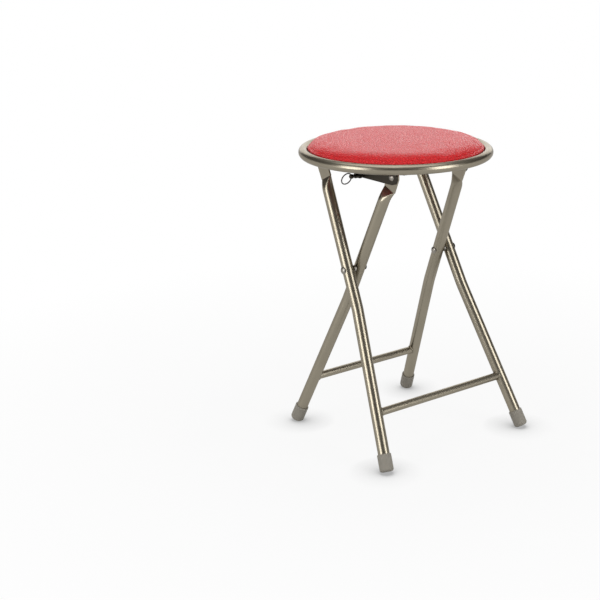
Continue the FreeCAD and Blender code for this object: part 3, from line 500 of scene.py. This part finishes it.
class Workbench:
    """Modelling steps shared by the pieces that are made here."""

    BEAD_RIPPLE = 0.16
    BEAD_PACE = 2.2
    BEAD_RESOLUTION = 3

    @staticmethod
    def clear() -> None:
        """Leaves edit mode and deselects everything."""
        if bpy.context.object and bpy.context.object.mode != "OBJECT":
            bpy.ops.object.mode_set(mode="OBJECT")
        bpy.ops.object.select_all(action="DESELECT")

    @classmethod
    def take(cls, piece: bpy.types.Object) -> None:
        """Selects one piece alone and makes it active."""
        cls.clear()
        piece.select_set(True)
        bpy.context.view_layer.objects.active = piece

    @classmethod
    def settle(cls, piece: bpy.types.Object) -> None:
        """Puts a piece's place into its mesh, so that its object sits at the origin."""
        cls.take(piece)
        bpy.ops.object.transform_apply(location=True, rotation=True, scale=True)

    @classmethod
    def apply_all(cls, piece: bpy.types.Object) -> None:
        """Applies every modifier of a piece in order."""
        cls.take(piece)
        for modifier in list(piece.modifiers):
            bpy.ops.object.modifier_apply(modifier=modifier.name)

    @classmethod
    def turned(
        cls, name: str, middle: Point, rings: list[Ring], sides: int, solid: bool
    ) -> bpy.types.Object:
        """Draws up a round piece ring by ring.

        Args:
            name: the piece's name.
            middle: a point on its upright axis.
            rings: radius and height of each ring, in order.
            sides: number of sides.
            solid: whether it starts from a disc and closes, or is an open sheet.

        Returns:
            The piece, out of edit mode.
        """
        cls.clear()
        radius, height = rings[0]
        bpy.ops.mesh.primitive_circle_add(
            vertices=sides, radius=radius, fill_type="NGON" if solid else "NOTHING",
            location=(middle[0], middle[1], height),
        )
        piece = bpy.context.object
        piece.name = name
        cls.settle(piece)
        bpy.ops.object.mode_set(mode="EDIT")
        bpy.ops.mesh.select_all(action="SELECT")
        extrude = bpy.ops.mesh.extrude_region_move if solid else bpy.ops.mesh.extrude_edges_move
        for next_radius, next_height in rings[1:]:
            extrude(TRANSFORM_OT_translate={"value": (0, 0, next_height - height)})
            share = next_radius / radius
            center = (middle[0], middle[1], next_height)
            bpy.ops.transform.resize(value=(share, share, 1), center_override=center)
            radius, height = next_radius, next_height
        bpy.ops.mesh.select_all(action="SELECT")
        bpy.ops.mesh.normals_make_consistent(inside=False)
        bpy.ops.object.mode_set(mode="OBJECT")
        return piece

    @classmethod
    def bead(cls, name: str, points: list[Vector], radius: float) -> bpy.types.Object:
        """Runs a round bead through points on a closed line.

        Args:
            name: the piece's name.
            points: places that the bead passes through, in order.
            radius: the bead's radius.

        Returns:
            The bead as a mesh at the origin.
        """
        cls.clear()
        bpy.ops.curve.primitive_nurbs_circle_add(radius=1.0, location=(0, 0, 0))
        line = bpy.context.object
        line.name = name
        line.data.splines.remove(line.data.splines[0])
        spline = line.data.splines.new("POLY")
        spline.points.add(len(points) - 1)
        for index, point in enumerate(points):
            spline.points[index].co = (*point, 1.0)
            # A hand-laid bead swells and thins in even ripples
            spline.points[index].radius = 1.0 + cls.BEAD_RIPPLE * math.sin(index * cls.BEAD_PACE)
        spline.use_cyclic_u = True
        line.data.dimensions = "3D"
        line.data.bevel_depth = radius
        line.data.bevel_resolution = cls.BEAD_RESOLUTION
        cls.take(line)
        bpy.ops.object.convert(target="MESH")
        bpy.ops.object.shade_smooth()
        return bpy.context.object

    @classmethod
    def joined(cls, name: str, pieces: list[bpy.types.Object]) -> bpy.types.Object:
        """Joins pieces into one object under a new name."""
        cls.take(pieces[0])
        for piece in pieces:
            piece.select_set(True)
        bpy.ops.object.join()
        whole = bpy.context.object
        whole.name = name
        return whole


def held_in(value: float) -> float:
    """Holds a value within 0 and 1 and returns it."""
    return max(0.0, min(1.0, value))


@dataclass
class Hoop:
    """Seat hoop with the tacks that hold the rails inside it."""

    cushion_gap: float = 0.05 * MM
    wall_fade: float = 6.0 * MM
    wall_turn: float = 2.0
    highest_share: float = 0.9
    tack_radius: float = 1.0 * MM
    tack_points: int = 24
    tack_half_length: float = 5.5 * MM
    tack_half_height: float = 0.6 * MM
    tack_drop: float = 6.8 * MM
    tack_sink: float = 0.1 * MM

    def __post_init__(self) -> None:
        """Reads the hoop's place and size from its solid."""
        low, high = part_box("seat_ring")
        self.center = (Vector(low) + Vector(high)) / 2
        self.tube = (high[2] - low[2]) / 2
        self.radius = (high[0] - low[0]) / 2 - self.tube

    def lay_against(self, piece: bpy.types.Object, bottom: float) -> None:
        """Draws a soft piece's lower wall out to the tube and keeps the rest clear of it.

        Args:
            piece: a finished soft piece inside the hoop.
            bottom: height of the piece's flat underside.
        """
        reach = self.tube + self.cushion_gap
        normals = [vertex.normal.copy() for vertex in piece.data.vertices]
        for vertex, normal in zip(piece.data.vertices, normals):
            offset = vertex.co - self.center
            around = Vector((offset.x, offset.y, 0.0))
            outward = around.normalized()
            rise = (vertex.co.z - bottom) / self.wall_fade
            share = held_in(1.0 - rise) * held_in(self.wall_turn * normal.dot(outward))
            dip = min(offset.z, self.highest_share * reach)
            wall = self.radius - math.sqrt(reach**2 - dip**2)
            vertex.co += outward * max(0.0, wall - around.length) * share
            middle = self.center + outward * self.radius
            away = vertex.co - middle
            if away.length < reach:
                vertex.co = middle + away.normalized() * reach

    def tack_line(self, middle: float, end: int) -> list[Vector]:
        """Works out the closed line of one tack on the tube's inner side.

        Args:
            middle: the rail's middle across the seat.
            end: 1 for the rail's back end, -1 for its front end.

        Returns:
            Points of the line, in order.
        """
        points = []
        for step in range(self.tack_points):
            angle = 2 * math.pi * step / self.tack_points
            across = middle + self.tack_half_length * math.cos(angle)
            dip = -self.tack_drop + self.tack_half_height * math.sin(angle)
            reach = self.radius - math.sqrt(self.tube**2 - dip**2) + self.tack_sink
            back = math.sqrt(reach**2 - across**2)
            points.append(Vector((across, self.center.y + end * back, self.center.z + dip)))
        return points

    def build_tacks(self) -> bpy.types.Object:
        """Lays a short weld along the end of each rail.

        Returns:
            All tacks as one piece.
        """
        tacks = []
        for side in Side:
            rail_low, rail_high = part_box(f"seat_rail_{side.name.lower()}")
            middle = (rail_low[0] + rail_high[0]) / 2
            for end in (-1, 1):
                line = self.tack_line(middle, end)
                tacks.append(Workbench.bead(f"rail_tack_{side.name}_{end}", line, self.tack_radius))
        whole = Workbench.joined("rail_tacks", tacks)
        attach(whole, "seat")
        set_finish(whole, Slot.DARK.value)
        return whole


@dataclass
class Cushion:
    """Padded seat: vinyl drawn over foam, swelling above the hoop."""

    hoop: Hoop
    rim: float = 1.0 * MM
    swell: float = 2.4 * MM
    edge: float = 13.0 * MM
    shoulder: float = 0.8 * MM
    board_gap: float = 0.05 * MM
    edge_steps: int = 8
    crown_steps: int = 12
    # The last ring stays a little off the axis
    crown_reach: float = 12.5
    sides: int = 160
    voxel: float = 4.0 * MM
    held_height: float = 1.2 * MM
    start_drop: float = 2.2 * MM
    pressure: float = 4.0
    stiffness: float = 20.0
    bending: float = 1.5
    cloth_quality: int = 6
    last_frame: int = 20
    most_lift: float = 1.8 * MM
    even_passes: int = 18
    even_factor: float = 0.5

    def __post_init__(self) -> None:
        """Reads the seat's place and size from the solids that it stands for."""
        low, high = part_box("seat_board")
        self.middle = ((low[0] + high[0]) / 2, (low[1] + high[1]) / 2, 0.0)
        self.board_top = high[2]
        self.board_radius = (high[0] - low[0]) / 2
        self.throat = self.board_radius + self.rim
        cover_low, cover_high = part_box("seat_cover")
        self.crown = cover_high[2]
        self.underside = cover_low[2]

    def profile(self) -> list[Ring]:
        """Works out the pad's rings from the board up over the edge to the crown.

        Returns:
            Radius and height of each ring.
        """
        widest = self.throat + self.swell
        level = self.board_top + self.shoulder
        rings = [(self.throat, self.board_top + self.board_gap), (widest, level)]
        top = self.crown - self.start_drop
        inward = widest - self.edge
        rise = top - level
        # The crown's large arc runs into the edge's small one without a crease
        crown = (inward**2 + rise**2 - self.edge**2) / (2 * (rise - self.edge))
        meet = inward * crown / (crown - self.edge)
        last = math.acos((meet - inward) / self.edge)
        for step in range(1, self.edge_steps + 1):
            angle = last * step / self.edge_steps
            rings.append((inward + self.edge * math.cos(angle), level + self.edge * math.sin(angle)))
        for step in range(1, self.crown_steps + 1):
            radius = meet * (1 - step / self.crown_reach)
            rings.append((radius, top - crown + math.sqrt(crown**2 - radius**2)))
        return rings

    def build_pad(self) -> bpy.types.Object:
        """Models the pad and lets its cover swell under the foam's pressure.

        Returns:
            The finished pad.
        """
        pad = Workbench.turned("seat_pad", self.middle, self.profile(), self.sides, solid=True)
        remesh = pad.modifiers.new("even_net", "REMESH")
        remesh.mode = "VOXEL"
        remesh.voxel_size = self.voxel
        Workbench.apply_all(pad)
        held = pad.vertex_groups.new(name="held")
        limit = self.board_top + self.held_height
        held.add([vertex.index for vertex in pad.data.vertices if vertex.co.z < limit], 1.0, "REPLACE")
        self.swell_cover(pad)
        even = pad.modifiers.new("even_surface", "SMOOTH")
        even.iterations = self.even_passes
        even.factor = self.even_factor
        even.vertex_group = held.name
        even.invert_vertex_group = True
        fine = pad.modifiers.new("finer_net", "SUBSURF")
        fine.levels = 1
        Workbench.apply_all(pad)
        bpy.ops.object.shade_smooth()
        self.hoop.lay_against(pad, self.board_top)
        pad.vertex_groups.clear()
        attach(pad, "seat")
        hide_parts("seat_foam", "seat_cover")
        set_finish(pad, Slot.VINYL.value)
        return pad

    def swell_cover(self, pad: bpy.types.Object) -> None:
        """Runs the cloth and keeps each point within its allowed lift.

        Args:
            pad: the remeshed pad with its held vertices.
        """
        rest = [vertex.co.copy() for vertex in pad.data.vertices]
        cloth = pad.modifiers.new("cover", "CLOTH")
        settings = cloth.settings
        settings.quality = self.cloth_quality
        settings.tension_stiffness = self.stiffness
        settings.compression_stiffness = self.stiffness
        settings.bending_stiffness = self.bending
        settings.use_pressure = True
        settings.uniform_pressure_force = self.pressure
        settings.vertex_group_mass = "held"
        settings.effector_weights.gravity = 0
        cloth.point_cache.frame_start = 1
        cloth.point_cache.frame_end = self.last_frame
        scene = bpy.context.scene
        for number in range(1, self.last_frame + 1):
            scene.frame_set(number)
        Workbench.apply_all(pad)
        scene.frame_set(1)
        for vertex, start in zip(pad.data.vertices, rest):
            move = vertex.co - start
            if move.length > self.most_lift:
                vertex.co = start + move.normalized() * self.most_lift


@dataclass
class Hem:
    """Vinyl turned under the seat board, gathered in pleats and stapled."""

    cushion: Cushion
    sides: int = 288
    inset: float = 0.5 * MM
    # Depth inward and height over the underside of each row of the turned edge
    turn: tuple[Ring, ...] = ((0.0, 1.5 * MM), (0.5 * MM, 0.4 * MM), (1.6 * MM, 0.0))
    rows: tuple[float, ...] = (6.0 * MM, 11.0 * MM, 16.0 * MM, 21.0 * MM, 25.5 * MM)
    width: float = 26.0 * MM
    thickness: float = 0.9 * MM
    crease_angle: float = math.radians(40)
    rail_gap: float = 3.0 * MM
    rail_fade: float = 8.0 * MM
    flat_share: float = 0.15
    pleat_depth: float = 1.3 * MM
    pleat_mean: float = 0.5
    # Height, number round the seat and phase of each run of pleats
    pleats: tuple[tuple[float, int, float], ...] = ((0.35, 46, 0.0), (0.15, 73, 1.0))
    staple_count: int = 30
    staple_inset: float = 11.0 * MM
    staple_clearance: float = 8.0 * MM
    staple_drop: float = 0.9 * MM
    staple_tilt: float = 0.12
    staple_pace: float = 1.7
    staple_size: Point = (0.6 * MM, 9.5 * MM, 0.5 * MM)
    staple_cuts: int = 8
    leg_start: float = 4.1 * MM
    leg_length: float = 1.6 * MM
    upward: float = 0.9

    def __post_init__(self) -> None:
        """Reads how far from the middle a rail begins and ends."""
        low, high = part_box("seat_rail_right")
        self.rail_start, self.rail_end = low[0], high[0]

    def build_sheet(self) -> bpy.types.Object:
        """Models the vinyl from the board's edge to its free edge under the board.

        Returns:
            The finished hem.
        """
        outer = self.cushion.throat - self.inset
        under = self.cushion.underside + self.inset
        rings = [(outer, self.cushion.board_top)]
        rings += [(outer - depth, under + height) for depth, height in self.turn]
        rings += [(outer - depth, under) for depth in self.rows]
        hem = Workbench.turned("seat_hem", self.cushion.middle, rings, self.sides, solid=False)
        self.gather(hem)
        thick = hem.modifiers.new("vinyl", "SOLIDIFY")
        thick.thickness = self.thickness
        thick.offset = 0.0
        Workbench.apply_all(hem)
        bpy.ops.object.shade_smooth_by_angle(angle=self.crease_angle)
        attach(hem, "seat")
        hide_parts("seat_cover")
        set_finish(hem, Slot.VINYL.value)
        return hem

    def gather(self, hem: bpy.types.Object) -> None:
        """Lets the hem's free edge hang in pleats between the rails.

        Args:
            hem: the hem's single-walled sheet.
        """
        for vertex in hem.data.vertices:
            offset = vertex.co - Vector((*self.cushion.middle[:2], vertex.co.z))
            depth = (self.cushion.throat - offset.length) / self.width
            beside = abs(vertex.co.x)
            clear = max(self.rail_start - self.rail_gap - beside, beside - self.rail_end - self.rail_gap)
            free = held_in(clear / self.rail_fade) * max(0.0, depth - self.flat_share)
            angle = math.atan2(offset.y, offset.x)
            fold = self.pleat_mean
            for height, count, phase in self.pleats:
                fold += height * math.sin(count * angle + phase)
            vertex.co.z -= free * fold * self.pleat_depth

    def build_staples(self) -> bpy.types.Object:
        """Sets staples round the hem, clear of the rails.

        Returns:
            All staples as one piece.
        """
        radius = self.cushion.board_radius - self.staple_inset
        height = self.cushion.underside - self.staple_drop
        center_x, center_y, _ = self.cushion.middle
        near = self.rail_start - self.staple_clearance
        far = self.rail_end + self.staple_clearance
        staples = []
        for number in range(self.staple_count):
            angle = 2 * math.pi * (number + 0.5) / self.staple_count
            across = radius * math.cos(angle)
            if near < abs(across) < far:
                continue
            place = (center_x + across, center_y + radius * math.sin(angle), height)
            tilt = self.staple_tilt * math.sin(number * self.staple_pace)
            staples.append(self.staple(place, angle + tilt))
        whole = Workbench.joined("hem_staples", staples)
        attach(whole, "seat")
        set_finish(whole, Slot.SPRING.value)
        return whole

    def staple(self, place: Point, angle: float) -> bpy.types.Object:
        """Models one wire staple with its two legs in the vinyl.

        Args:
            place: middle of its crown.
            angle: direction from the seat's middle; the crown lies across it.

        Returns:
            The staple.
        """
        Workbench.clear()
        bpy.ops.mesh.primitive_cube_add(size=1.0, location=(0, 0, 0))
        staple = bpy.context.object
        staple.scale = self.staple_size
        Workbench.settle(staple)
        bpy.ops.object.mode_set(mode="EDIT")
        bpy.ops.mesh.select_all(action="SELECT")
        bpy.ops.mesh.subdivide(number_cuts=self.staple_cuts)
        bpy.ops.mesh.select_all(action="DESELECT")
        bpy.ops.object.mode_set(mode="OBJECT")
        for face in staple.data.polygons:
            face.select = face.normal.z > self.upward and abs(face.center.y) > self.leg_start
        bpy.ops.object.mode_set(mode="EDIT")
        bpy.ops.mesh.extrude_region_move(TRANSFORM_OT_translate={"value": (0, 0, self.leg_length)})
        bpy.ops.object.mode_set(mode="OBJECT")
        staple.location = place
        staple.rotation_euler = (0, 0, angle)
        Workbench.settle(staple)
        return staple


@dataclass
class LegFrame:
    """One frame of two bent legs and a crossbar, with its weld beads."""

    body: str
    prefix: str
    lean: float
    splay: float = 7.8
    leg_radius: float = 9.0 * MM
    bar_radius: float = 6.0 * MM
    bead_radius: float = 1.1 * MM
    bead_points: int = 40
    leg_lift: float = 0.2 * MM
    bar_lift: float = 0.35 * MM

    def build_beads(self) -> bpy.types.Object:
        """Lays a weld bead round each end of the crossbar.

        Returns:
            Both beads as one piece.
        """
        low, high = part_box(f"{self.prefix}_crossbar")
        center = (Vector(low) + Vector(high)) / 2
        turn = Matrix.Rotation(math.radians(self.lean), 4, "X")
        splay = math.radians(self.splay)
        tube = self.leg_radius + self.leg_lift
        bar = self.bar_radius + self.bar_lift
        # The coped end reaches farthest where the bar meets the leg's flanks
        flank = math.sqrt(self.leg_radius**2 - self.bar_radius**2)
        leg_axis = (high[0] - low[0]) / 2 + flank / math.cos(splay)
        beads = []
        for side in Side:
            points = []
            for step in range(self.bead_points):
                angle = 2 * math.pi * step / self.bead_points
                back, up = bar * math.cos(angle), bar * math.sin(angle)
                inward = math.sqrt(tube**2 - back**2)
                across = leg_axis - (inward + up * math.sin(splay)) / math.cos(splay)
                points.append(center + turn @ Vector((side.value * across, back, up)))
            beads.append(Workbench.bead(f"{self.prefix}_bead", points, self.bead_radius))
        whole = Workbench.joined(f"{self.prefix}_weld_beads", beads)
        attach(whole, self.body)
        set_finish(whole, Slot.TUBE.value)
        return whole


@dataclass(frozen=True)
class SoftBox:
    """One studio lamp, turned to the middle of the stool."""

    name: str
    place: Point
    width: float
    height: float
    power: float
    aim: Point = (0.0, 0.0, 0.25)

    def build(self) -> None:
        """Hangs the lamp and turns it to its aim."""
        Workbench.clear()
        bpy.ops.object.light_add(type="AREA", location=self.place)
        lamp = bpy.context.object
        lamp.name = self.name
        lamp.data.shape = "RECTANGLE"
        lamp.data.size = self.width
        lamp.data.size_y = self.height
        lamp.data.energy = self.power
        lamp.rotation_mode = "QUATERNION"
        lamp.rotation_quaternion = (Vector(self.aim) - Vector(self.place)).to_track_quat("-Z", "Y")


LAMPS: tuple[SoftBox, ...] = (
    SoftBox("left_strip", (-2.7, 0.0, 1.0), width=1.3, height=2.0, power=46.0),
    SoftBox("right_strip", (0.75, -2.55, 1.15), width=1.3, height=2.0, power=46.0),
    SoftBox("overhead", (0.0, 0.2, 2.8), width=2.6, height=2.6, power=36.0),
    SoftBox("behind", (1.8, 2.15, 1.3), width=3.4, height=1.5, power=38.0),
)


@dataclass
class Studio:
    """Pale floor, soft lamps and the photograph's camera."""

    azimuth: float = -40.14
    elevation: float = 17.14
    distance: float = 2.2107
    target: Point = (0.0, -0.00749, 0.220)
    lens: float = 83.79
    sensor: float = 36.0
    shift: tuple[float, float] = (-0.167, -0.0091)
    floor_radius: float = 25.0
    floor_sides: int = 96
    floor_drop: float = 0.2 * MM
    backdrop_height: float = 2.2
    paper_grey: float = 0.55
    paper_range: Range = (0.3, 1.0)
    paper_lift: float = 0.90
    # Reach, range and darkest level of the painted shadow on the floor where a foot stands
    contact_reach: float = 0.05
    contact_range: Range = (0.5, 1.0)
    painted_shadow_level: float = 0.45
    sky_range: Range = (0.3, 0.9)
    sky_low: Color = (0.10, 0.095, 0.09)
    sky_high: Color = (0.35, 0.35, 0.35)

    def build_camera(self) -> None:
        """Sets the camera at the photograph's viewing angle."""
        Workbench.clear()
        turn, tilt = math.radians(self.azimuth), math.radians(self.elevation)
        back = Vector((math.sin(turn) * math.cos(tilt), -math.cos(turn) * math.cos(tilt), math.sin(tilt)))
        bpy.ops.object.camera_add(location=Vector(self.target) + back * self.distance)
        camera = bpy.context.object
        camera.rotation_mode = "QUATERNION"
        camera.rotation_quaternion = (-back).to_track_quat("-Z", "Y")
        camera.data.lens = self.lens
        camera.data.sensor_width = self.sensor
        camera.data.shift_x, camera.data.shift_y = self.shift
        bpy.context.scene.camera = camera

    def build_floor(self) -> bpy.types.Object:
        """Lays a wide pale floor just under the feet, turned up at its far edge as a backdrop."""
        Workbench.clear()
        bpy.ops.mesh.primitive_circle_add(
            vertices=self.floor_sides, radius=self.floor_radius, fill_type="NGON",
            location=(0, 0, -self.floor_drop),
        )
        floor = bpy.context.object
        floor.name = "studio_floor"
        Workbench.settle(floor)
        bpy.ops.object.mode_set(mode="EDIT")
        bpy.ops.mesh.select_all(action="SELECT")
        bpy.ops.mesh.region_to_loop()
        bpy.ops.mesh.extrude_edges_move(TRANSFORM_OT_translate={"value": (0, 0, self.backdrop_height)})
        bpy.ops.object.mode_set(mode="OBJECT")
        floor.data.materials.append(self.floor_material())
        return floor

    def floor_material(self) -> bpy.types.Material:
        """Makes the floor pale paper near the stool and an even white farther out.

        Returns:
            The material: its white carries a painted shadow from ambient occlusion where a foot stands, and
                its paper takes soft shadows near the stool.
        """
        material = bpy.data.materials.new("studio_floor")
        material.use_nodes = True
        material.node_tree.nodes.clear()
        desk = NodeDesk(material.node_tree)
        away = desk.add("ShaderNodeVectorMath")
        away.operation = "LENGTH"
        desk.feed(away.inputs[0], desk.add("ShaderNodeTexCoord").outputs["Object"])
        lift = desk.remap(away.outputs["Value"], *self.paper_range, self.paper_lift, 1.0)
        path = desk.add("ShaderNodeLightPath")
        seen = desk.math("MAXIMUM", path.outputs["Is Camera Ray"], path.outputs["Is Glossy Ray"])
        seen = desk.math("MAXIMUM", seen, path.outputs["Is Transmission Ray"])
        grey = self.paper_grey
        paper = desk.add("ShaderNodeBsdfDiffuse", Color=(grey, grey, grey, 1.0))
        # Painted shadow: ambient occlusion darkens the white emission where a foot stands
        nearby = desk.add("ShaderNodeAmbientOcclusion", Distance=self.contact_reach)
        painted_contact_shadow = desk.remap(nearby.outputs["AO"], *self.contact_range, self.painted_shadow_level, 1.0)
        # The painted shadow fades out away from the stool, so the fold where the floor turns up into the
        # backdrop stays unshaded
        far_off = desk.remap(away.outputs["Value"], *self.paper_range, 0.0, 1.0)
        painted_contact_shadow = desk.math("MAXIMUM", painted_contact_shadow, far_off)
        white = desk.add("ShaderNodeEmission", Color=(1.0, 1.0, 1.0, 1.0), Strength=painted_contact_shadow)
        both = desk.add("ShaderNodeMixShader", Fac=desk.math("MULTIPLY", lift, seen))
        desk.feed(both.inputs[1], paper.outputs["BSDF"])
        desk.feed(both.inputs[2], white.outputs["Emission"])
        desk.add("ShaderNodeOutputMaterial", Surface=both.outputs["Shader"])
        return material

    def build_world(self) -> None:
        """Sets a soft sky that is pale above and dimmer towards the sides."""
        world = bpy.data.worlds.new("studio")
        bpy.context.scene.world = world
        world.use_nodes = True
        world.node_tree.nodes.clear()
        desk = NodeDesk(world.node_tree)
        direction = desk.add("ShaderNodeTexCoord").outputs["Generated"]
        parts = desk.add("ShaderNodeSeparateXYZ", Vector=direction)
        height = desk.remap(parts.outputs["Z"], *self.sky_range, 0.0, 1.0)
        sky = desk.blend(height, (*self.sky_low, 1.0), (*self.sky_high, 1.0))
        light = desk.add("ShaderNodeBackground", Color=sky, Strength=1.0)
        desk.add("ShaderNodeOutputWorld", Surface=light.outputs["Background"])


class Stool:
    """The whole stool: dressed solids and the pieces made here."""

    def __init__(self) -> None:
        """Builds the finishes."""
        effects = Effects()
        self.materials = {finish.slot.value: finish.build(effects) for finish in FINISHES}

    def dress(self, piece: bpy.types.Object, slot: str) -> None:
        """Gives a piece its slot's material alone."""
        piece.data.materials.clear()
        piece.data.materials.append(self.materials[slot])

    def dress_solids(self) -> None:
        """Gives every solid the material of its slot."""
        for entry in frame["record"]["subparts"]:
            self.dress(frame["nodes"][entry["node"]], entry["material_slot"])
            LOG.info("dressed %s with %s", entry["node"], entry["material_slot"])

    def build_pieces(self) -> None:
        """Builds the soft seat, its hem and the welds, each with its material."""
        hoop = Hoop()
        cushion = Cushion(hoop)
        hem = Hem(cushion)
        outer = LegFrame("outer_frame", "outer", lean=-26.5)
        inner = LegFrame("inner_frame", "inner", lean=23.8)
        pieces = (
            cushion.build_pad(),
            hem.build_sheet(),
            hem.build_staples(),
            outer.build_beads(),
            inner.build_beads(),
            hoop.build_tacks(),
        )
        for piece in pieces:
            self.dress(piece, piece["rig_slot"])
            LOG.info("built %s with %d faces", piece.name, len(piece.data.polygons))


def main() -> None:
    """Builds the stool and its studio, and notes the sizes."""
    logging.basicConfig(level=logging.INFO, format="%(message)s")
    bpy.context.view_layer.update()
    bpy.context.scene.view_settings.view_transform = "Standard"
    stool = Stool()
    stool.dress_solids()
    stool.build_pieces()
    studio = Studio()
    studio.build_camera()
    studio.build_floor()
    studio.build_world()
    for lamp in LAMPS:
        lamp.build()
    Workbench.clear()


if __name__ == "__main__":
    main()
